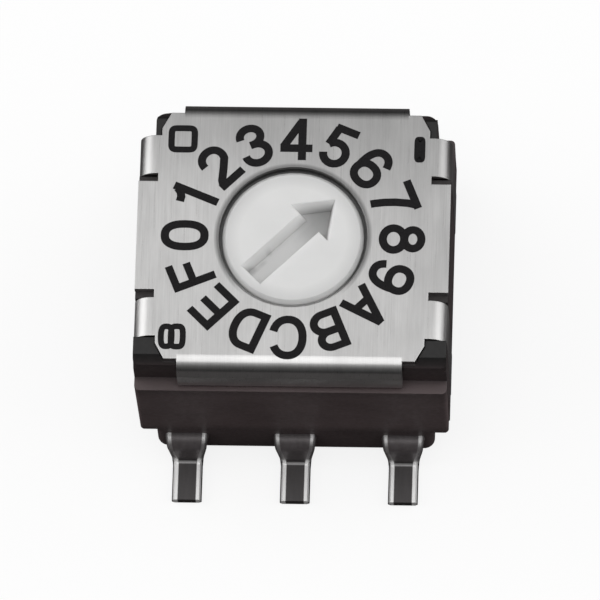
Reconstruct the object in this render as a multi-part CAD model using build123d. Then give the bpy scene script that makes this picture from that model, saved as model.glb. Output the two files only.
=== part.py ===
# Rotary DIP switch with sixteen positions, surface mounted on six gull wing leads.
# Millimetres. Z runs up the rotor axis, the leads leave along Y and the feet stand on Z = 0.
# The rotor points at position 6, halfway between +X and +Y. Positions count up clockwise.
import os
from math import atan2, cos, degrees, radians, sin, sqrt, tan

from build123d import *

# Outside of the switch
body_width = 7.28
body_depth = 7.00
switch_height = 4.75
stand_off = 0.12
draft = 0.5
wall_corner = 0.12

# Leads and the sheet they are stamped from
lead_pitch = 2.54
lead_span = 9.70
lead_gauge = 0.20
lead_edge = 0.06
lead_height = 0.90
lead_bend = 0.20
lead_lean = 0.08
shoulder_width = 1.00
bend_width = 0.92
knee_width = 0.76
foot_width = 0.70
foot_length = 1.17

# Steel cover
cover_gauge = 0.18
cover_bend = 0.42
leg_proud = 0.01
flange_set_back = 0.10
flange_set_in = 1.03
flange_drop = 0.90
leg_set_back = 0.88
leg_width = 0.96
slit_width = 0.20
slit_run = 0.04
hook_bend = 0.15
hole_round = 0.05
notch_width = 0.52
notch_corner = 0.18
relief_depth = 0.31
relief_width = 0.30

# Housing
rim_height = 1.22
shelf_drop = 1.00
post_drop = 0.05
post_bevel_depth = 0.21
post_bevel_drop = 0.18
back_recess_width = 0.36
back_corner = 0.28
back_recess_drop = 2.45
roof_thickness = 1.10
side_wall = 0.88

# Base
base_inset = 0.38
base_corner = 0.25
base_bevel = 0.08
plug_height = 0.32
plug_margin = 0.66
well_wall = 0.65
ejector_radius = 0.40
ejector_depth = 0.05
ejector_spacing = 3.60

# Rotor
dial_gap = 0.07
head_drop = 0.04
head_bevel = 0.09
barrel_shoulder = 0.37
skirt_ledge = 0.52
hub_hole_radius = 0.30
arrow_depth = 0.45
arrow_draft = 12.0
arrow_tip_margin = 0.30
arrow_tail_margin = 0.31
arrow_shaft_width = 0.64
arrow_head_width = 1.27
arrow_head_length = 0.84
arrow_angle = 45.0

# Seal
seal_groove_depth = 0.36
seal_groove_height = 0.50
seal_groove_drop = 0.25

# Detent
positions = 16
rest_position = 6
detent_groove_depth = 0.20
detent_groove_width = 0.50
spring_gauge = 0.12
spring_space = 0.60
spring_bump_half = 0.62
spring_tab_width = 0.60
spring_tab_reach = 0.26

# Code disc and the contact fingers that ride on it
disc_gauge = 0.10
disc_set_back = 0.17
disc_rim = 0.25
common_track = 0.60
track_web = 0.12
nose_angle = 35.0
finger_gauge = 0.12
finger_width = 0.30
finger_bend = 0.12
finger_toe = 0.28
arm_width = 0.50
strip_width = 0.80
lance_gap = 0.05

# Clearances
running_gap = 0.03
seat_gap = 0.02
flange_gap = 0.05
skirt_gap = 0.06
finger_gap = 0.02
float_gap = 0.04

# How far a cutting shape runs past what it cuts
overcut = 1.00

# Outline of the body and cover, as distances from the middle
body_x = body_width / 2
body_y = body_depth / 2
cover_x = body_x + leg_proud
cover_y = body_y - flange_set_back
leg_outer_y = cover_y - leg_set_back
leg_inner_y = leg_outer_y - leg_width
flange_x = cover_x - flange_set_in
notch_x = cover_x - notch_width
relief_y = cover_y - relief_depth
post_y = cover_y - cover_gauge - flange_gap
back_post_x = body_x - back_recess_width

# Radii of the rotor and of what it runs in, from the side walls inwards
skirt_radius = min(body_x, body_y) - side_wall
barrel_radius = skirt_radius - skirt_ledge
dial_hole_radius = barrel_radius - barrel_shoulder
head_radius = dial_hole_radius - dial_gap
groove_radius = barrel_radius - seal_groove_depth
bore_radius = barrel_radius + running_gap
cavity_radius = skirt_radius + skirt_gap
disc_radius = skirt_radius - disc_set_back

# Levels, from the board upwards
cover_under = switch_height - cover_gauge
shelf_level = switch_height - shelf_drop
recess_level = switch_height - back_recess_drop
plug_top = rim_height + plug_height
rotor_bottom = plug_top + float_gap
ceiling = cover_under - roof_thickness
skirt_top = ceiling - spring_space
barrel_top = cover_under - float_gap
head_top = switch_height - head_drop
groove_top = barrel_top - seal_groove_drop
well_floor = lead_height - lead_gauge / 2

# Outline of the base, its plug and its well
base_x = body_x - base_inset
base_y = body_y - (shelf_level - rim_height) * tan(radians(draft))
plug_x = body_x - plug_margin
plug_y = body_y - plug_margin
well_x = plug_x - well_wall
well_y = plug_y - well_wall

# Code tracks: the common one is innermost, then bits 8, 4, 2 and 1
track_step = (disc_radius - disc_rim - common_track) / 4
window_width = track_step - track_web
track_order = {8: 1, 4: 2, 2: 3, 1: 4}
click = 360 / positions

# Side and row of each bit's lead: -1 is left or front, 1 is right or back
lead_places = {1: (-1, -1), 2: (1, 1), 4: (1, -1), 8: (-1, 1)}


def box(x_low, x_high, y_low, y_high, z_low, z_high):
    size = (x_high - x_low, y_high - y_low, z_high - z_low)
    centre = Pos((x_low + x_high) / 2, (y_low + y_high) / 2, (z_low + z_high) / 2)
    return centre * Box(*size)


def disc(radius, z_low, z_high):
    height = z_high - z_low
    return Pos(0, 0, z_low + height / 2) * Cylinder(radius, height)


def prism_along_x(points, x_low, x_high):
    """A Y, Z outline drawn out along X."""
    face = make_face(Polyline(*points, close=True))
    return Pos(x_low, 0, 0) * extrude(Plane.YZ * face, x_high - x_low)


def prism_along_y(points, y_low, y_high):
    """An X, Z outline drawn out along Y."""
    face = make_face(Polyline(*points, close=True))
    return Pos(0, y_high, 0) * extrude(Plane.XZ * face, y_high - y_low)


def two_ends(solid):
    """A solid and its mirror image in the plane Y = 0."""
    return solid + mirror(solid, Plane.XZ)


def two_sides(solid):
    """A solid and its mirror image in the plane X = 0."""
    return solid + mirror(solid, Plane.YZ)


def four_corners(solid):
    """A solid and its mirror images in the planes X = 0 and Y = 0."""
    return two_ends(two_sides(solid))


def folded_strip(points, radii, gauge, width):
    """Sheet of one gauge that follows a bent line in the Y, Z plane, centred on X = 0."""
    line = FilletPolyline(*points, radius=radii)
    face = Plane.YZ * trace(line, gauge)
    return Pos(-width / 2, 0, 0) * extrude(face, width, dir=(1, 0, 0))


# Cover: one stamping with bent flanges, folded legs and a round hole for the rotor

def cover_outline():
    """The flat of the cover from above, up to the start of its bends."""
    flat_x = cover_x - cover_bend
    flat_y = cover_y - cover_bend
    slit_x = flat_x - slit_run
    quarter = [
        (0, 0),
        (cover_x, 0),
        (cover_x, leg_inner_y - slit_width),
        (slit_x, leg_inner_y - slit_width),
        (slit_x, leg_inner_y),
        (flat_x, leg_inner_y),
        (flat_x, leg_outer_y),
        (notch_x, leg_outer_y),
        (notch_x, leg_outer_y + notch_corner),
        (flange_x + relief_width, relief_y),
        (flange_x, relief_y),
        (flange_x, flat_y),
        (0, flat_y),
    ]
    return make_face(Polyline(*quarter, close=True))


def cover_flange():
    middle = cover_gauge / 2
    top = switch_height - middle
    points = [
        (cover_y - 2 * cover_bend, top),
        (cover_y - middle, top),
        (cover_y - middle, switch_height - flange_drop),
    ]
    return folded_strip(points, cover_bend - middle, cover_gauge, 2 * flange_x)


def cover_leg():
    """A leg down the side of the housing, with its end folded in under the rim."""
    middle = cover_gauge / 2
    top = switch_height - middle
    hook_level = rim_height - seat_gap - middle
    points = [
        (cover_x - 2 * cover_bend, top),
        (cover_x - middle, top),
        (cover_x - middle, hook_level),
        (base_x + seat_gap, hook_level),
    ]
    leg = folded_strip(points, (cover_bend - middle, hook_bend), cover_gauge, leg_width)
    return Pos(0, leg_outer_y - leg_width / 2, 0) * Rot(0, 0, -90) * leg


def cover():
    flat = four_corners(Pos(0, 0, cover_under) * extrude(cover_outline(), cover_gauge))
    body = flat + two_ends(cover_flange()) + four_corners(cover_leg())
    body -= disc(dial_hole_radius, cover_under - overcut, switch_height + overcut)
    rim = body.edges().filter_by(GeomType.CIRCLE).filter_by(
        lambda edge: abs(edge.radius - dial_hole_radius) < 0.001
    )
    return fillet(rim.sort_by(Axis.Z)[-1], hole_round)


# Housing: the black shell that holds the rotor from above

def housing_lower():
    plan = RectangleRounded(body_width, body_depth, wall_corner)
    depth = shelf_level - rim_height
    return extrude(Pos(0, 0, shelf_level) * plan, depth, dir=(0, 0, -1), taper=draft)


def housing_upper():
    """The part under the cover, with its top edges cut back for the bends in the sheet."""
    cut_back = cover_bend - cover_gauge + seat_gap
    outline = [
        (-post_y, rim_height),
        (-post_y, cover_under - cut_back),
        (-post_y + cut_back, cover_under),
        (post_y - cut_back, cover_under),
        (post_y, cover_under - cut_back),
        (post_y, rim_height),
    ]
    return prism_along_x(outline, -body_x, body_x)


def corner_post(reach, corner):
    """A post that fills a notch in the cover, out to reach from the middle, with a sloping shoulder."""
    top = switch_height - post_drop
    profile = [
        (leg_outer_y + seat_gap, rim_height),
        (leg_outer_y + seat_gap, top),
        (post_y - post_bevel_depth, top),
        (post_y, top - post_bevel_drop),
        (post_y, rim_height),
    ]
    post = prism_along_x(profile, flange_x + seat_gap, reach)
    post &= extrude(RectangleRounded(2 * reach, 2 * post_y, corner), switch_height)
    keep_out = offset(cover_outline(), seat_gap, kind=Kind.INTERSECTION)
    return post - Pos(0, 0, cover_under) * extrude(keep_out, cover_gauge + overcut)


def back_recesses():
    """The corners cut away behind the back legs of the cover, down to the recess level."""
    outside = box(-body_x - overcut, body_x + overcut, leg_outer_y, body_y + overcut,
                  recess_level, switch_height + overcut)
    keep = RectangleRounded(2 * back_post_x, 2 * body_y, back_corner)
    return outside - extrude(keep, switch_height + 2 * overcut)


def leg_channel():
    """What one leg of the cover and its bend need cut from the side of the housing."""
    floor = cover_x - cover_gauge - seat_gap
    cut_back = cover_bend - cover_gauge + seat_gap
    outline = [
        (floor, rim_height - overcut),
        (floor, cover_under - cut_back),
        (floor - cut_back, cover_under),
        (floor - cut_back, switch_height + overcut),
        (body_x + overcut, switch_height + overcut),
        (body_x + overcut, rim_height - overcut),
    ]
    return prism_along_y(outline, leg_inner_y - seat_gap, leg_outer_y + seat_gap)


def plug(grow, z_low, z_high):
    plan = RectangleRounded(2 * (plug_x + grow), 2 * (plug_y + grow), base_corner)
    return Pos(0, 0, z_low) * extrude(plan, z_high - z_low)


def spring_key(grow, z_low, z_high):
    """The tabs of the detent spring, or the slots in the housing that stop it turning."""
    reach = cavity_radius + spring_tab_reach + grow
    half = spring_tab_width / 2 + grow
    return box(-half, half, -reach, reach, z_low, z_high)


def housing():
    front_posts = mirror(two_sides(corner_post(body_x, wall_corner)), Plane.XZ)
    back_posts = two_sides(corner_post(back_post_x, back_corner))
    body = housing_lower() + housing_upper() - back_recesses()
    body += front_posts + back_posts
    body -= four_corners(leg_channel())
    body -= disc(bore_radius, rim_height - overcut, switch_height + overcut)
    body -= disc(cavity_radius, rim_height - overcut, ceiling)
    body -= plug(seat_gap, rim_height - overcut, plug_top + seat_gap)
    return body - spring_key(seat_gap, rim_height - overcut, ceiling)


# Rotor: moulded head, barrel and skirt, turned down by the arrow slot and the seal groove

def rotor_outline():
    groove_low = groove_top - seal_groove_height
    return [
        (0, rotor_bottom),
        (skirt_radius, rotor_bottom),
        (skirt_radius, skirt_top),
        (barrel_radius, skirt_top),
        (barrel_radius, groove_low),
        (groove_radius, groove_low),
        (groove_radius, groove_top),
        (barrel_radius, groove_top),
        (barrel_radius, barrel_top),
        (head_radius, barrel_top),
        (head_radius, head_top - head_bevel),
        (head_radius - head_bevel, head_top),
        (0, head_top),
    ]


def arrow_slot():
    """The arrow for a flat driver, sunk in the head."""
    shaft = arrow_shaft_width / 2
    head = arrow_head_width / 2
    tip = head_radius - arrow_tip_margin
    tail = head_radius - arrow_tail_margin
    neck = tip - arrow_head_length
    outline = [
        (-tail, -shaft),
        (neck, -shaft),
        (neck, -head),
        (tip, 0),
        (neck, head),
        (neck, shaft),
        (-tail, shaft),
    ]
    mouth = Pos(0, 0, head_top) * Rot(0, 0, arrow_angle) * make_face(Polyline(*outline, close=True))
    return extrude(mouth, arrow_depth, dir=(0, 0, -1), taper=arrow_draft)


def detent_groove():
    """One radial groove in the top of the skirt, wider than it is deep."""
    half = detent_groove_width / 2
    outline = [
        (-half, skirt_top),
        (0, skirt_top - detent_groove_depth),
        (half, skirt_top),
        (half, skirt_top + overcut),
        (-half, skirt_top + overcut),
    ]
    return prism_along_x(outline, barrel_radius, skirt_radius + overcut)


def rotor():
    profile = make_face(Polyline(*rotor_outline(), close=True))
    body = revolve(Plane.XZ * profile, Axis.Z)
    groove = detent_groove()
    body -= [Rot(0, 0, click * count) * groove for count in range(positions)]
    return body - arrow_slot() - code_disc()


def seal_ring():
    section = (bore_radius - groove_radius) / 2 - seat_gap / 2
    centre = groove_top - seal_groove_height / 2
    return Pos(0, 0, centre) * Torus((bore_radius + groove_radius) / 2, section)


# Detent spring: a keyed ring under the roof with two noses pressed down out of it

def spring_nose():
    middle = spring_gauge / 2
    high = ceiling - seat_gap - middle
    slope = detent_groove_width / 2 / detent_groove_depth
    low = skirt_top - detent_groove_depth + seat_gap + middle * sqrt(1 + slope**2) / slope
    points = [(-spring_bump_half, high), (0, low), (spring_bump_half, high)]
    return folded_strip(points, middle + seat_gap, spring_gauge, 2 * cavity_radius)


def detent_spring():
    top = ceiling - seat_gap
    low = top - spring_gauge
    ring = disc(cavity_radius - seat_gap, skirt_top - overcut, top)
    ring -= disc(bore_radius, skirt_top - 2 * overcut, top + overcut)
    flat = ring & box(-body_x, body_x, -body_y, body_y, low, top)
    flat -= box(-body_x, body_x, -spring_bump_half, spring_bump_half, low - overcut, top + overcut)
    tabs = spring_key(0, low, top)
    tabs -= disc(cavity_radius - spring_tab_reach, low - overcut, top + overcut)
    return flat + tabs + (spring_nose() & ring)


# Code disc: a stamped plate in the foot of the rotor, open where a bit is off

def track_radius(bit):
    return common_track + track_order[bit] * track_step


def nose_place(bit):
    """Where the nose of a bit's finger touches its track."""
    side, row = lead_places[bit]
    radius = track_radius(bit)
    angle = radians(nose_angle)
    return side * radius * cos(angle), row * radius * sin(angle)


def window(bit, first_off):
    """The opening that leaves one run of positions off, seen from the finger of that bit."""
    nose_x, nose_y = nose_place(bit)
    finger_angle = degrees(atan2(nose_y, nose_x))
    start = finger_angle + (first_off - rest_position - 0.5) * click
    face = Plane.XZ * Pos(track_radius(bit), rotor_bottom) * Rectangle(window_width, 4 * disc_gauge)
    return Rot(0, 0, start) * revolve(face, Axis.Z, bit * click)


def code_disc():
    plate = disc(disc_radius, rotor_bottom, rotor_bottom + disc_gauge)
    plate -= disc(hub_hole_radius, rotor_bottom - overcut, skirt_top)
    for bit in track_order:
        for first_off in range(0, positions, 2 * bit):
            plate -= window(bit, first_off)
    return plate


# Contacts: each is one stamping from its finger in the well to its foot on the board

def lead_section(plane, width):
    """The cross-section of a lead, with its long edges coined flat."""
    half = width / 2
    middle = lead_gauge / 2
    outline = [
        (-half + lead_edge, -middle),
        (half - lead_edge, -middle),
        (half, -middle + lead_edge),
        (half, middle - lead_edge),
        (half - lead_edge, middle),
        (-half + lead_edge, middle),
        (-half, middle - lead_edge),
        (-half, -middle + lead_edge),
    ]
    return plane * make_face(Polyline(*outline, close=True))


def lead(inner_y):
    """A gull wing lead along +Y that starts inside the base at inner_y."""
    middle = lead_gauge / 2
    heel_y = lead_span / 2 - foot_length + middle
    points = [
        (inner_y, lead_height),
        (heel_y - lead_lean, lead_height),
        (heel_y, middle),
        (lead_span / 2, middle),
    ]
    line = Plane.YZ * FilletPolyline(*points, radius=lead_bend)
    widths = [shoulder_width, shoulder_width, bend_width, knee_width, foot_width, foot_width]
    runs = []
    for edge, start, end in zip(line.edges(), widths, widths[1:]):
        planes = [Plane(origin=edge @ place, x_dir=(1, 0, 0), z_dir=edge % place) for place in (0, 1)]
        sections = [lead_section(planes[0], start), lead_section(planes[1], end)]
        runs.append(sweep(sections=sections, path=edge, multisection=True))
    return runs[0] + runs[1:]


def finger(root_y, tip_y):
    """A spring finger along +Y that rises from root_y to a rounded nose at tip_y."""
    middle = finger_gauge / 2
    nose = rotor_bottom - finger_gap - middle
    toe_drop = finger_toe / 2
    points = [
        (root_y - arm_width / 2, lead_height),
        (root_y, lead_height),
        (tip_y, nose),
        (tip_y + finger_toe, nose - toe_drop),
    ]
    return folded_strip(points, finger_bend, finger_gauge, finger_width)


def bit_contact(bit):
    """One bit's contact, built in the +Y row and turned to its own row and side."""
    side, row = lead_places[bit]
    nose_x, nose_y = nose_place(bit)
    lead_x = side * row * lead_pitch
    finger_x = nose_x * row
    inner = min(finger_x - finger_width / 2, lead_x)
    outer = max(finger_x + finger_width / 2, lead_x)
    blade = Pos(lead_x, 0, 0) * lead(well_y)
    arm = box(inner, outer, well_y, well_y + arm_width, well_floor, well_floor + lead_gauge)
    spring = Pos(finger_x, 0, 0) * mirror(finger(-well_y, -abs(nose_y)), Plane.XZ)
    turn = 0 if row > 0 else 180
    return Rot(0, 0, turn) * (blade + arm + spring)


def common_contact():
    """The strip that joins the two middle leads, with a finger lanced up out of it."""
    root = -lead_pitch / 2
    half = strip_width / 2
    strip = box(-half, half, -well_y, well_y, well_floor, well_floor + lead_gauge)
    slot_half = finger_width / 2 + lance_gap
    slot_end = common_track + finger_toe + lance_gap
    strip -= box(-slot_half, slot_half, root, slot_end, well_floor - overcut, well_floor + overcut)
    return strip + two_ends(lead(well_y)) + finger(root, common_track)


# Base: the moulding that holds the contacts and closes the housing from below

def base_body():
    plan = RectangleRounded(2 * base_x, 2 * base_y, base_corner)
    block = Pos(0, 0, stand_off) * extrude(plan, rim_height - stand_off)
    block = chamfer(block.faces().sort_by(Axis.Z)[0].edges(), base_bevel)
    block += plug(0, rim_height, plug_top)
    block -= box(-well_x, well_x, -well_y, well_y, well_floor, plug_top + overcut)
    half = ejector_spacing / 2
    mark = Pos(half, half, 0) * disc(ejector_radius, stand_off - overcut, stand_off + ejector_depth)
    return block - four_corners(mark)


def base(contacts):
    body = base_body()
    for contact in contacts:
        body -= contact
    return body


def write(name, solid):
    solid.label = name
    export_step(solid, f"parts/{name}.step")


def main():
    os.makedirs("parts", exist_ok=True)
    contacts = {f"bit_{bit}_contact": bit_contact(bit) for bit in lead_places}
    contacts["common_contact"] = common_contact()
    for name, solid in contacts.items():
        write(name, solid)
    write("base", base(contacts.values()))
    write("housing", housing())
    write("cover", cover())
    write("rotor", rotor())
    write("seal_ring", seal_ring())
    write("detent_spring", detent_spring())
    write("code_disc", code_disc())


main()
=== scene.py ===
import math

import bpy
from mathutils import Matrix, Vector


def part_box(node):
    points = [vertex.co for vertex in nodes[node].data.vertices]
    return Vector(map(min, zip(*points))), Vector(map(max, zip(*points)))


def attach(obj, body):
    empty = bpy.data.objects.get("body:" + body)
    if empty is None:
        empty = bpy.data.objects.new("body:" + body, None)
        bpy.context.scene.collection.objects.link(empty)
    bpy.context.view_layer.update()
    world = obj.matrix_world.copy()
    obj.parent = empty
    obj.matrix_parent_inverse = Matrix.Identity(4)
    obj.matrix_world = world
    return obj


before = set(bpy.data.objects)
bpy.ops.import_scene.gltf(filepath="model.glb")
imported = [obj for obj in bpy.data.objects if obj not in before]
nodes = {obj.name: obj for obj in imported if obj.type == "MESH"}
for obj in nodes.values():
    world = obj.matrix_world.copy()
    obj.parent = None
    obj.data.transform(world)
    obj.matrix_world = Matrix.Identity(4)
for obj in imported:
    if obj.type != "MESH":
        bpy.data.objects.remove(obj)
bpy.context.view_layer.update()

MM = 0.001
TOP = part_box("cover")[1].z


# Shader helpers. An input takes either another node's output or a plain value.

# The colour sockets of a Mix node, which has others of the same name for other kinds of data
MIX_FACTOR, MIX_FIRST, MIX_SECOND, MIX_RESULT = 0, 6, 7, 2


class Nodes:
    """A node tree, with a short way to add nodes and link them."""

    def __init__(self, tree):
        self.tree = tree

    def add(self, kind, inputs=None, **settings):
        """A new node with its settings, and its inputs by name or number."""
        node = self.tree.nodes.new(kind)
        for key, value in settings.items():
            setattr(node, key, value)
        for socket, value in (inputs or {}).items():
            self.feed(node, socket, value)
        return node

    def feed(self, node, socket, value):
        if isinstance(value, bpy.types.NodeSocket):
            self.tree.links.new(value, node.inputs[socket])
        else:
            node.inputs[socket].default_value = value

    def coords(self, kind="Object"):
        return self.add("ShaderNodeTexCoord").outputs[kind]

    def split(self, vector):
        """The X, Y and Z of a vector, by name."""
        return self.add("ShaderNodeSeparateXYZ", {"Vector": vector}).outputs

    def from_axis(self):
        """Distance from the rotor axis, in metres."""
        flat = self.add("ShaderNodeVectorMath", {0: self.coords(), 1: (1, 1, 0)}, operation="MULTIPLY")
        length = self.add("ShaderNodeVectorMath", {0: flat.outputs["Vector"]}, operation="LENGTH")
        return length.outputs["Value"]

    def noise(self, scale, detail=3.0, roughness=0.55):
        """Noise of so many features per metre along X, Y and Z."""
        mapping = self.add("ShaderNodeMapping", {"Vector": self.coords(), "Scale": scale})
        inputs = {"Vector": mapping.outputs["Vector"], "Scale": 1.0,
                  "Detail": detail, "Roughness": roughness}
        return self.add("ShaderNodeTexNoise", inputs).outputs["Fac"]

    def spread(self, value, low, high, from_low=0.3, from_high=0.7):
        """Maps a value onto low to high, and holds it at both ends."""
        inputs = {"Value": value, "From Min": from_low, "From Max": from_high,
                  "To Min": low, "To Max": high}
        return self.add("ShaderNodeMapRange", inputs).outputs["Result"]

    def ramp(self, value, *stops):
        """Colours by position, or greys where the stops hold single numbers."""
        node = self.add("ShaderNodeValToRGB", {"Fac": value})
        elements = node.color_ramp.elements
        for element, (at, colour) in zip(elements, (stops[0], stops[-1])):
            element.position, element.color = at, opaque(colour)
        for at, colour in stops[1:-1]:
            elements.new(at).color = opaque(colour)
        return node.outputs["Color"]

    def math(self, operation, first, second):
        return self.add("ShaderNodeMath", {0: first, 1: second}, operation=operation).outputs["Value"]

    def product(self, first, *others):
        for other in others:
            first = self.math("MULTIPLY", first, other)
        return first

    def scaled(self, colour, factor):
        inputs = {"Vector": colour, "Scale": factor}
        return self.add("ShaderNodeVectorMath", inputs, operation="SCALE").outputs["Vector"]

    def mix(self, factor, first, second, blend="MIX"):
        """Two colours mixed by a factor."""
        inputs = {MIX_FACTOR: factor, MIX_FIRST: first, MIX_SECOND: second}
        mixed = self.add("ShaderNodeMix", inputs, data_type="RGBA", blend_type=blend)
        return mixed.outputs[MIX_RESULT]

    def bump(self, height, distance, strength, normal=None):
        """A normal bumped by a height; the bump lies over another normal, if one is given."""
        bump = self.add("ShaderNodeBump", {"Height": height, "Distance": distance, "Strength": strength})
        if normal is not None:
            self.feed(bump, "Normal", normal)
        return bump.outputs["Normal"]

    def soft_edge(self, radius):
        return self.add("ShaderNodeBevel", {"Radius": radius}, samples=4).outputs["Normal"]


class Shader(Nodes):
    """A material with one surface shader."""

    def __init__(self, name):
        self.material = bpy.data.materials.new(name)
        self.material.use_nodes = True
        super().__init__(self.material.node_tree)
        self.tree.nodes.clear()
        self.surface = self.add("ShaderNodeBsdfPrincipled")
        self.output = self.add("ShaderNodeOutputMaterial", {"Surface": self.surface.outputs["BSDF"]})

    def set(self, **values):
        """Inputs of the surface, with underscores for the spaces in their names."""
        for key, value in values.items():
            self.feed(self.surface, key.replace("_", " "), value)


def opaque(colour):
    """A colour, or a grey from one number, with its alpha."""
    return (*colour, 1) if isinstance(colour, tuple) else (colour, colour, colour, 1)


# Materials. Each pair says where a painted shade, a painted highlight or a bump begins and ends, in
# metres:
# along the axis in its name, out from the rotor axis, along or across the arrow, down from the rotor's
# face, or in from the edge of a lead.

GAP_FRONT_Y = (-1.5 * MM, -0.2 * MM)

COVER_BACK_Y = (0.5 * MM, 3.2 * MM)
COVER_RIGHT_DIAGONAL = (0.0, 3.6 * MM)
HOLE_EDGE_RADIUS = (1.86 * MM, 1.76 * MM)

FRONT_WALL_Y = (-3.3 * MM, -3.1 * MM)

ARROW_ALONG = (-1.6 * MM, 1.4 * MM)
ARROW_LEFT_WING = (0.1 * MM, 0.9 * MM)
ARROW_LEFT_CORNER = (0.1 * MM, 0.5 * MM)
ARROW_DEPTH = (0.46 * MM, 0.10 * MM)
ARROW_WALL_RADIUS = (1.50 * MM, 1.55 * MM)
ROTOR_FACE_RADIUS = (1.25 * MM, 1.58 * MM)
ROTOR_RIM_RADIUS = (1.635 * MM, 1.67 * MM)

LEAD_PITCH = 2.54 * MM
# Half the width of a lead at its foot and at its shoulder, and the heights of the two
LEAD_HALF_WIDTHS = (0.35 * MM, 0.50 * MM)
LEAD_WIDENING_Z = (0.2 * MM, 1.0 * MM)
LEAD_Z = (0.0, 1.2 * MM)
PAINTED_HIGHLIGHT_FROM_EDGE = (0.015 * MM, 0.03 * MM)
PAINTED_HIGHLIGHT_TO_FLAT = (0.125 * MM, 0.145 * MM)
ROUNDED_EDGE = (0.0, 0.06 * MM)


def ring_shade(shader, at, dark, radii):
    """Shade in the gap round the rotor: dark past the second radius, fading out towards the front."""
    ring = shader.spread(shader.from_axis(), 1.0, dark, *radii)
    front = shader.spread(at["Y"], 1.0, 0.0, *GAP_FRONT_Y)
    return shader.math("MAXIMUM", ring, front)


def brushed_steel():
    """Steel brushed along Y, with painted shade towards the back and the right, and painted shade on the
    edge of the hole.
    """
    shader = Shader("brushed_cover_steel")
    around = shader.add("ShaderNodeTangent", direction_type="RADIAL", axis="X").outputs["Tangent"]
    at = shader.split(shader.coords())
    fine = shader.noise((42000, 700, 9000), 4.0, 0.65)
    broad = shader.noise((1500, 500, 1500), 4.0, 0.6)
    tint = shader.ramp(fine, (0.3, (0.60, 0.595, 0.59)), (0.52, (0.65, 0.645, 0.64)),
                       (0.75, (0.70, 0.695, 0.69)))
    patches = shader.spread(broad, 0.88, 1.0, 0.35, 0.65)
    # Painted shade: darker towards the back and towards the right, and in the gap at the edge of the
    # hole
    back = shader.spread(at["Y"], 1.0, 0.76, *COVER_BACK_Y)
    right = shader.spread(shader.math("ADD", at["X"], at["Y"]), 1.0, 0.85, *COVER_RIGHT_DIAGONAL)
    hole = ring_shade(shader, at, 0.3, HOLE_EDGE_RADIUS)
    shader.set(
        Base_Color=shader.scaled(tint, shader.product(patches, back, right, hole)),
        Metallic=1.0,
        Roughness=shader.spread(fine, 0.27, 0.37),
        Anisotropic=0.8,
        Anisotropic_Rotation=0.25,
        Tangent=around,
        Normal=shader.bump(fine, 0.003 * MM, 0.4, shader.soft_edge(0.02 * MM)),
    )
    return shader.material


def moulded_black():
    """Black plastic, with painted shade by height, deepest on the corner posts' tops, and painted shade
    behind the front wall.
    """
    shader = Shader("moulded_black")
    at = shader.split(shader.coords())
    grain = shader.noise((9000, 9000, 9000), 5.0, 0.6)
    cloud = shader.noise((700, 700, 1100), 3.0, 0.5)
    tint = shader.ramp(cloud, (0.3, (0.105, 0.076, 0.077)), (0.7, (0.142, 0.105, 0.107)))
    # Painted shade by height: each level of the body gets its own darkness, the tops of the corner posts
    # the most
    height = shader.spread(at["Z"], 0.0, 1.0, 0.0, TOP)
    level = shader.ramp(height, (0.26, 0.57), (0.33, 1.0), (0.70, 0.95), (0.77, 0.74), (0.94, 0.55),
                        (0.985, 0.06))
    # Painted shade over all of the body behind its front wall, which leaves the front wall paler
    painted_shade_behind_front_wall = shader.spread(at["Y"], 1.0, 0.42, *FRONT_WALL_Y)
    shader.set(
        Base_Color=shader.scaled(shader.mix(1.0, tint, level, "MULTIPLY"), painted_shade_behind_front_wall),
        Roughness=shader.spread(grain, 0.40, 0.58),
        Normal=shader.bump(grain, 0.006 * MM, 0.6, shader.soft_edge(0.03 * MM)),
    )
    return shader.material


def slot_corner_spots(shader, across, length, deep):
    """A few soft dark spots along the left corner of the slot, near its tail."""
    place = shader.spread(across, 0.0, 1.0, *ARROW_LEFT_CORNER)
    corner = shader.ramp(place, (0.0, 0.0), (0.5, 1.0), (1.0, 0.0))
    tail = shader.spread(length, 1.0, 0.0, 0.35, 0.45)
    spots = shader.spread(shader.noise((3400, 3400, 1), 0.0), 0.0, 1.0, 0.45, 0.70)
    return shader.spread(shader.product(corner, spots, tail, deep), 1.0, 0.76, 0.0, 0.5)


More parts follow.
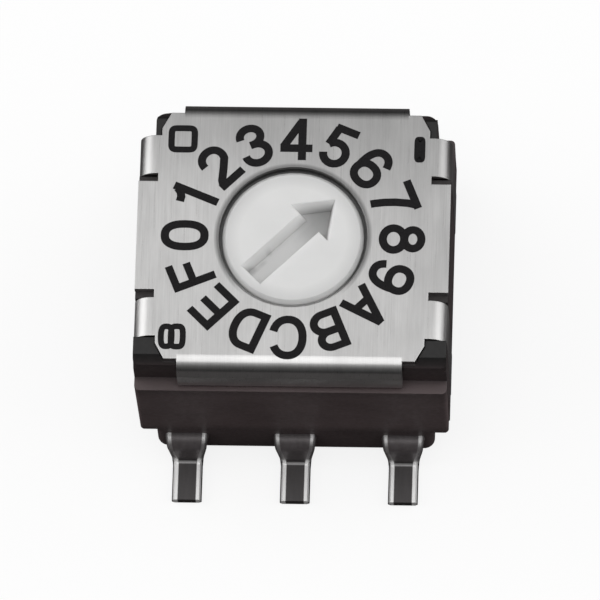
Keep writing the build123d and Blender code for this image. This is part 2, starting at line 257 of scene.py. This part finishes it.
def moulded_white():
    """White plastic, with painted shade in the sunk arrow towards its head, on the rotor's edge and in
    the gap round it.
    """
    shader = Shader("moulded_white")
    at = shader.split(shader.coords())
    radius = shader.from_axis()
    grain = shader.noise((7000, 7000, 7000), 4.0, 0.6)
    cloud = shader.noise((900, 900, 900), 3.0, 0.5)
    tint = shader.ramp(cloud, (0.3, (0.76, 0.76, 0.755)), (0.7, (0.80, 0.80, 0.795)))

    # The arrow points along X + Y: length runs from its tail to its head, across to its left
    length = shader.spread(shader.math("ADD", at["X"], at["Y"]), 0.0, 1.0, *ARROW_ALONG)
    across = shader.math("SUBTRACT", at["Y"], at["X"])
    # Painted shade in the sunk arrow: darker towards its head, less so on its left side
    wing = shader.spread(across, 0.0, 0.25, *ARROW_LEFT_WING)
    head = shader.ramp(shader.math("SUBTRACT", length, wing), (0.0, 0.85), (0.5, 0.87), (0.6, 0.81),
                       (0.68, 0.71), (0.85, 0.52), (1.0, 0.43))
    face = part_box("rotor")[1].z
    floor_depth, mouth_depth = ARROW_DEPTH
    deep = shader.spread(at["Z"], 1.0, 0.0, face - floor_depth, face - mouth_depth)

    # A painted highlight on the arrow's steep walls, most towards its head
    lean = shader.split(shader.add("ShaderNodeNewGeometry").outputs["True Normal"])
    upright = shader.spread(lean["Z"], 1.0, 0.0, 0.3, 0.7)
    inside = shader.spread(radius, 1.0, 0.0, *ARROW_WALL_RADIUS)
    towards_head = shader.spread(length, 0.4, 1.0, 0.45, 0.85)
    painted_wall_highlight = shader.mix(shader.product(upright, inside, towards_head), tint, (0.95, 0.95, 0.945, 1))
    arrow = shader.mix(deep, painted_wall_highlight, head, "MULTIPLY")

    # Painted shade: darker towards the rotor's edge, and dark in the gap round it
    soft = shader.spread(radius, 1.0, 0.84, *ROTOR_FACE_RADIUS)
    rim = ring_shade(shader, at, 0.26, ROTOR_RIM_RADIUS)
    shade = shader.product(soft, rim, slot_corner_spots(shader, across, length, deep))
    shader.set(
        Base_Color=shader.scaled(arrow, shade),
        Roughness=shader.spread(grain, 0.38, 0.52),
        Normal=shader.bump(grain, 0.004 * MM, 0.4, shader.soft_edge(0.04 * MM)),
        Subsurface_Weight=0.7,
        Subsurface_Radius=(1, 1, 1),
        Subsurface_Scale=0.25 * MM,
    )
    return shader.material


def plated(name, light, dark, low, high):
    """Bright plating with faint tool marks; low and high are its roughness."""
    shader = Shader(name)
    marks = shader.noise((9000, 2500, 9000), 4.0, 0.6)
    shader.set(
        Base_Color=shader.ramp(marks, (0.3, dark), (0.7, light)),
        Metallic=1.0,
        Roughness=shader.spread(marks, low, high),
        Normal=shader.bump(marks, 0.003 * MM, 0.4, shader.soft_edge(0.015 * MM)),
    )
    return shader.material


def edge_distance(shader, at):
    """Distance in from the long edge of the nearest lead, which widens from the foot to the shoulder."""
    centre = shader.math("PINGPONG", at["X"], LEAD_PITCH / 2)
    half_width = shader.spread(at["Z"], *LEAD_HALF_WIDTHS, *LEAD_WIDENING_Z)
    return shader.math("SUBTRACT", half_width, centre)


def lead_plating():
    """Dull plating on the flats, with painted shade by height and a painted highlight on the rounded
    edges and the lower bend.
    """
    shader = Shader("lead_plating")
    at = shader.split(shader.coords())
    marks = shader.noise((9000, 1800, 9000), 4.0, 0.6)
    tint = shader.ramp(marks, (0.3, (0.105, 0.093, 0.095)), (0.7, (0.140, 0.125, 0.128)))
    level = shader.spread(at["Z"], 0.0, 1.0, *LEAD_Z)
    # Painted shade by height: darker on the foot and at the shoulder
    shade = shader.ramp(level, (0.18, 0.36), (0.32, 1.05), (0.75, 1.05), (0.88, 0.5))

    # Painted highlight along the rounded long edges of each lead, and over its lower bend
    inwards = edge_distance(shader, at)
    rising = shader.spread(inwards, 0.0, 1.0, *PAINTED_HIGHLIGHT_FROM_EDGE)
    falling = shader.spread(inwards, 1.0, 0.0, *PAINTED_HIGHLIGHT_TO_FLAT)
    flats = shader.ramp(level, (0.22, 1.0), (0.32, 0.15), (0.75, 0.15), (0.88, 0.9))
    bend = shader.ramp(level, (0.1675, 0.0), (0.172, 0.3), (0.190, 0.3), (0.206, 0.0))
    painted_highlight = shader.math("MAXIMUM", shader.product(rising, falling, flats), bend)

    rounding = shader.spread(inwards, 0.0, 1.0, *ROUNDED_EDGE)
    dull = shader.mix(1.0, tint, shade, "MULTIPLY")
    shader.set(
        Base_Color=shader.mix(painted_highlight, dull, (0.98, 0.975, 0.97, 1)),
        Metallic=shader.spread(painted_highlight, 0.35, 0.1, 0.0, 1.0),
        Roughness=shader.spread(painted_highlight, 0.38, 0.30, 0.0, 1.0),
        Normal=shader.bump(marks, 0.003 * MM, 0.4, shader.bump(rounding, 0.05 * MM, 1.0)),
    )
    return shader.material


def matt(name, scale, dark, light, low, high, specular=0.5):
    """A fine-grained matt surface; low and high are its roughness."""
    shader = Shader(name)
    grain = shader.noise((scale, scale, scale))
    shader.set(
        Base_Color=shader.ramp(grain, (0.3, dark), (0.7, light)),
        Roughness=shader.spread(grain, low, high),
        Specular_IOR_Level=specular,
    )
    return shader.material


def dress():
    """Gives each CAD node its material; the contacts all have the leads' plating."""
    lead = lead_plating()
    black = moulded_black()
    looks = {
        "cover": brushed_steel(),
        "housing": black,
        "base": black,
        "rotor": moulded_white(),
        "seal_ring": matt("seal_rubber", 12000, 0.012, 0.022, 0.6, 0.8),
        "detent_spring": plated("spring_steel", 0.55, 0.42, 0.25, 0.4),
        "code_disc": plated("disc_plating", (0.83, 0.68, 0.38), (0.70, 0.56, 0.30), 0.2, 0.35),
    }
    for name, node in nodes.items():
        node.data.materials.clear()
        node.data.materials.append(looks.get(name, lead))


# Print on the cover: the position marks and three corner marks, as thin flat pieces of ink, in mm

GLYPH_HEIGHT = 1.09
STROKE = 0.19
RING_RADIUS = 2.525
# The ring of marks is a little shorter from front to back
RING_SQUASH = 0.98
# Mark 0 is on the left, and the others follow clockwise
FIRST_DEGREES = 180
STEP_DEGREES = 22.5
# Ink stands this far proud, sinks half as far into the cover, and each next line of a mark is
# a fifth of it higher, so that no two faces meet in one plane
INK_RISE = 0.004
SUNK_SHARE = 0.5
LINE_SHARE = 0.2
SAME_POINT = 1e-6
# The least cosine at a corner, which keeps a sharp mitre short
LEAST_MITRE = 0.5

# Where a mark of the photo differs: shift to its right, shift outwards, height ratio
NUDGES = {
    "0": (0.0, 0.0, 1.03), "1": (0.02, 0.0, 1.02), "2": (0.015, 0.0, 1.0), "6": (-0.025, 0.0, 1.0),
    "8": (0.02, 0.02, 1.0), "9": (0.065, 0.0, 1.0), "A": (0.02, 0.0, 0.94), "B": (0.0, 0.025, 0.95),
    "C": (0.01, 0.055, 1.0), "D": (-0.035, 0.045, 0.96), "E": (-0.037, 0.03, 0.95),
    "F": (-0.03, 0.015, 0.95),
}


def oval(cx, cy, rx, ry, start, end, power=2.0, steps=20):
    """Points along an oval from start to end degrees; a power over 2 makes it squarer."""
    points = []
    for count in range(steps + 1):
        angle = math.radians(start + (end - start) * count / steps)
        c, s = math.cos(angle), math.sin(angle)
        x = math.copysign(abs(c) ** (2 / power), c)
        y = math.copysign(abs(s) ** (2 / power), s)
        points.append((cx + rx * x, cy + ry * y))
    return points


def glyphs():
    """The centre lines of each mark, from the bottom of the glyph upwards."""
    top = GLYPH_HEIGHT
    low, high = STROKE / 2, top - STROKE / 2
    middle = top / 2
    tall = middle - low
    six = [
        oval(0.03, 0.345, 0.28, 0.25, 0, 360, 2.2, 28),
        oval(0.03, middle, 0.28, tall, 28, 190, 2.3),
    ]
    return {
        "0": [oval(0, middle, 0.285, tall, 0, 360, 2.4, 32)],
        "1": [[(0.09, 0), (0.09, top)], [(-0.23, 0.81), (-0.11, 0.83), (-0.01, 0.89), (0.05, 0.99)]],
        "2": [oval(-0.01, 0.74, 0.265, 0.2525, 182, -30, 2.1, 24)
              + [(0.02, 0.42), (-0.20, 0.23), (-0.27, 0.12)],
              [(-0.35, low), (0.34, low)]],
        "3": [oval(-0.02, 0.785, 0.245, 0.21, 185, -90), [(-0.09, 0.575), (0.02, 0.575)],
              oval(-0.01, 0.335, 0.275, 0.24, 90, -182)],
        "4": [[(0.15, 0), (0.15, 1.05)], [(0.12, 0.96), (-0.29, 0.33)], [(-0.36, 0.30), (0.39, 0.30)]],
        "5": [[(0.36, high), (-0.20, high)], [(-0.125, high), (-0.205, 0.53)],
              oval(0.01, 0.365, 0.265, 0.27, 142, -165)],
        "6": six,
        "7": [[(-0.35, high), (0.40, high)],
              [(0.31, high), (0.19, 0.82), (0.06, 0.56), (-0.03, 0.32), (-0.09, 0.10), (-0.11, 0)]],
        "8": [oval(0.01, 0.795, 0.235, 0.2, 0, 360, 2.0, 28),
              oval(0.01, 0.345, 0.275, 0.25, 0, 360, 2.0, 28)],
        "9": [[(-x, top - y) for x, y in line] for line in six],
        "A": [[(-0.31, 0), (0.015, 1.06)], [(0.34, 0), (0.015, 1.06)], [(0.015, 0.8), (0.015, top)],
              [(-0.22, 0.38), (0.25, 0.38)]],
        "B": [[(-0.20, 0), (-0.20, top)],
              [(-0.20, high)] + oval(0.10, 0.785, 0.225, 0.2105, 90, -90) + [(-0.20, 0.5745)],
              [(-0.20, 0.565)] + oval(0.11, 0.33, 0.25, 0.235, 90, -90) + [(-0.20, low)]],
        "C": [oval(0.04, middle, 0.35, tall, 26, 342, 2.2, 28)],
        "D": [[(-0.245, 0), (-0.245, top)],
              [(-0.245, high)] + oval(0.03, middle, 0.32, tall, 90, -90, 2.2) + [(-0.245, low)]],
        "E": [[(-0.225, 0), (-0.225, top)], [(-0.225, high), (0.38, high)],
              [(-0.225, low), (0.375, low)], [(-0.225, 0.57), (0.35, 0.57)]],
        "F": [[(-0.20, 0), (-0.20, top)], [(-0.20, high), (0.385, high)], [(-0.20, 0.56), (0.31, 0.56)]],
    }


def corner_marks():
    """The marks at three corners of the cover: name, lines, place and stroke."""
    square = [oval(0, 0, 0.27, 0.27, 45, 405, 6.0, 40)]
    bar = [oval(0, 0, 0.065, 0.26, 0, 360, 6.0, 40)]
    eight = [oval(-0.13, 0, 0.125, 0.25, 0, 360, 3.0, 28), oval(0.115, 0, 0.14, 0.255, 0, 360, 3.5, 28)]
    return [
        ("square", square, (-2.64, 2.43, 0), 0.15),
        ("bar", bar, (2.90, 2.23, 0), 0.13),
        ("eight", eight, (-2.74, -2.54, 0), 0.14),
    ]


def ribbon(line, width):
    """A flat strip of one width along a line, as pairs of edge points, mitred at the corners."""
    closed = (Vector(line[0]) - Vector(line[-1])).length < SAME_POINT
    points = [Vector(p) for p in (line[:-1] if closed else line)]
    points = [p for i, p in enumerate(points) if i == 0 or (p - points[i - 1]).length > SAME_POINT]
    count = len(points)
    pairs = []
    for i, point in enumerate(points):
        before = points[i - 1] if closed or i else None
        after = points[(i + 1) % count] if closed or i < count - 1 else None
        into = (point - before).normalized() if before is not None else (after - point).normalized()
        out = (after - point).normalized() if after is not None else into
        side = Vector((-into.y - out.y, into.x + out.x)).normalized()
        reach = width / 2 / max(side.dot(Vector((-into.y, into.x))), LEAST_MITRE)
        pairs.append((point + side * reach, point - side * reach))
    if closed:
        pairs.append(pairs[0])
    return pairs


def mesh_object(name, verts, faces):
    mesh = bpy.data.meshes.new(name)
    mesh.from_pydata(verts, [], faces)
    mesh.update()
    item = bpy.data.objects.new(name, mesh)
    bpy.context.scene.collection.objects.link(item)
    return item


def ink_piece(name, lines, place, width=STROKE):
    """One mark of ink on the cover: a thin slab along each of its lines."""
    verts, faces = [], []
    for count, line in enumerate(lines):
        low, high = -SUNK_SHARE * INK_RISE, INK_RISE * (1 + LINE_SHARE * count)
        start = len(verts)
        for pair in ribbon(line, width):
            for point in pair:
                flat = place @ Vector((point.x, point.y, 0))
                verts.append((flat.x * MM, flat.y * MM, TOP + high * MM))
                verts.append((flat.x * MM, flat.y * MM, TOP + low * MM))
        # Each pair has made four points: left top, left bottom, right top and right bottom
        end = len(verts) - 4
        for a in range(start, end, 4):
            b = a + 4
            faces += [(a, a + 2, b + 2, b), (a, b, b + 1, a + 1), (a + 2, a + 3, b + 3, b + 2)]
        faces += [(start, start + 1, start + 3, start + 2), (end, end + 2, end + 3, end + 1)]
    return mesh_object(name, verts, faces)


def print_marks(ink):
    shapes = glyphs()
    pieces = []
    for count, mark in enumerate("0123456789ABCDEF"):
        turn = math.radians(FIRST_DEGREES - STEP_DEGREES * count)
        right, out, tall = NUDGES.get(mark, (0, 0, 1))
        spot = (RING_RADIUS * math.cos(turn), RING_RADIUS * RING_SQUASH * math.sin(turn), 0)
        place = (Matrix.Translation(spot)
                 @ Matrix.Rotation(turn - math.pi / 2, 4, "Z")
                 @ Matrix.Translation((right, out - GLYPH_HEIGHT * tall / 2, 0))
                 @ Matrix.Diagonal((1, tall, 1, 1)))
        pieces.append(ink_piece(f"print_{mark}", shapes[mark], place))
    for name, lines, spot, width in corner_marks():
        pieces.append(ink_piece(f"print_corner_{name}", lines, Matrix.Translation(spot), width))
    for piece in pieces:
        piece.data.materials.append(ink)
        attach(piece, "body")


# Studio: floor, lights, surroundings and camera, in metres, degrees and watts

FLOOR_HALF = 0.6
FLOOR_Z = -0.005 * MM
FLOOR_GLOW = 1.035
FLOOR_GLOW_SHARE = 0.80
LIGHT_AIM = Vector((0, 0, 0.003))

# Name, azimuth, elevation, distance, width, height and power
LIGHTS = (
    ("key_light", -10, 84, 0.5, 0.40, 0.40, 0.47),
    ("left_light", -106, 22, 0.4, 0.5, 0.32, 0.66),
    ("right_light", 106, 22, 0.4, 0.5, 0.32, 0.50),
)

# Azimuth, elevation and roll
CAMERA_ANGLES = (7.32, 68.0, -6.06)
CAMERA_DISTANCE = 0.300
CAMERA_CLIP = (0.01, 5)
SENSOR_MM = 36
PHOTO_PIXELS = 600
PIXELS_PER_MM = 42.94
# The pixel of the photo where the rotor axis meets the top of the cover
AXIS_PIXEL = (292.9, 236.6)


def looking_from(azimuth, elevation):
    """The direction from the part outwards; azimuth is 0 in front and a right angle on the right."""
    flat = math.cos(elevation)
    return Vector((math.sin(azimuth) * flat, -math.cos(azimuth) * flat, math.sin(elevation)))


def studio_floor():
    """A floor that the camera sees as near white, and that throws little light up at the part."""
    signs = ((-1, -1), (1, -1), (1, 1), (-1, 1))
    corners = [(x * FLOOR_HALF, y * FLOOR_HALF, FLOOR_Z) for x, y in signs]
    floor = mesh_object("studio_floor", corners, [(0, 1, 2, 3)])
    shader = Shader("studio_floor")
    paper = shader.noise((60, 60, 60), 2.0)
    shader.set(Base_Color=shader.ramp(paper, (0.3, 0.895), (0.7, 0.905)), Roughness=0.9,
               Specular_IOR_Level=0.1)
    glow = shader.add("ShaderNodeEmission", {"Color": (1, 1, 1, 1), "Strength": FLOOR_GLOW})
    bright = shader.add("ShaderNodeMixShader", {
        "Fac": FLOOR_GLOW_SHARE, 1: shader.surface.outputs["BSDF"], 2: glow.outputs["Emission"]})
    dim = shader.add("ShaderNodeBsdfDiffuse", {"Color": (0.09, 0.086, 0.086, 1)})
    seen = shader.add("ShaderNodeLightPath").outputs["Is Camera Ray"]
    choose = shader.add("ShaderNodeMixShader", {
        "Fac": seen, 1: dim.outputs["BSDF"], 2: bright.outputs["Shader"]})
    shader.feed(shader.output, "Surface", choose.outputs["Shader"])
    floor.data.materials.append(shader.material)


def softbox(name, azimuth, elevation, distance, width, height, watts):
    """A soft light that looks at the part from a direction."""
    direction = looking_from(math.radians(azimuth), math.radians(elevation))
    data = bpy.data.lights.new(name, "AREA")
    data.shape = "RECTANGLE"
    data.size, data.size_y = width, height
    data.energy = watts
    lamp = bpy.data.objects.new(name, data)
    lamp.location = direction * distance + LIGHT_AIM
    lamp.rotation_euler = direction.to_track_quat("Z", "Y").to_euler()
    bpy.context.scene.collection.objects.link(lamp)


def surroundings():
    """A pale room, bright overhead and dark low down and at the front and back."""
    world = bpy.data.worlds.new("studio")
    bpy.context.scene.world = world
    world.use_nodes = True
    room = Nodes(world.node_tree)
    at = room.split(room.coords("Generated"))
    depth = room.spread(at["Y"], 0.0, 1.0, -1.0, 1.0)
    sky = room.ramp(depth, (0.10, 0.10), (0.33, 0.68), (0.5, 0.80), (0.7, 0.76), (0.87, 0.32),
                    (1.0, 0.10))
    low_down = room.spread(at["Z"], 0.12, 1.0, 0.0, 0.5)
    room.feed(world.node_tree.nodes["Background"], "Color", room.scaled(sky, low_down))


def camera():
    """The photo's viewpoint: its angle, its scale at the cover and the place of the rotor in it."""
    azimuth, elevation, roll = (math.radians(angle) for angle in CAMERA_ANGLES)
    back = looking_from(azimuth, elevation)
    level = Vector((math.cos(azimuth), math.sin(azimuth), 0))
    rise = back.cross(level)
    right = level * math.cos(roll) + rise * math.sin(roll)
    up = rise * math.cos(roll) - level * math.sin(roll)
    data = bpy.data.cameras.new("camera")
    data.sensor_width = SENSOR_MM
    data.lens = PIXELS_PER_MM * CAMERA_DISTANCE / MM * SENSOR_MM / PHOTO_PIXELS
    data.clip_start, data.clip_end = CAMERA_CLIP
    view = bpy.data.objects.new("camera", data)
    shift_right, shift_down = (PHOTO_PIXELS / 2 - pixel for pixel in AXIS_PIXEL)
    aim = Vector((0, 0, TOP)) + (right * shift_right - up * shift_down) * MM / PIXELS_PER_MM
    turn = Matrix((right, up, back)).transposed().to_4x4()
    view.matrix_world = Matrix.Translation(aim + back * CAMERA_DISTANCE) @ turn
    bpy.context.scene.collection.objects.link(view)
    bpy.context.scene.camera = view


dress()
print_marks(matt("print_ink", 30000, (0.007, 0.0065, 0.007), (0.016, 0.015, 0.016), 0.5, 0.7, 0.1))
studio_floor()
surroundings()
for light in LIGHTS:
    softbox(*light)
camera()
bpy.context.scene.view_settings.view_transform = "Standard"
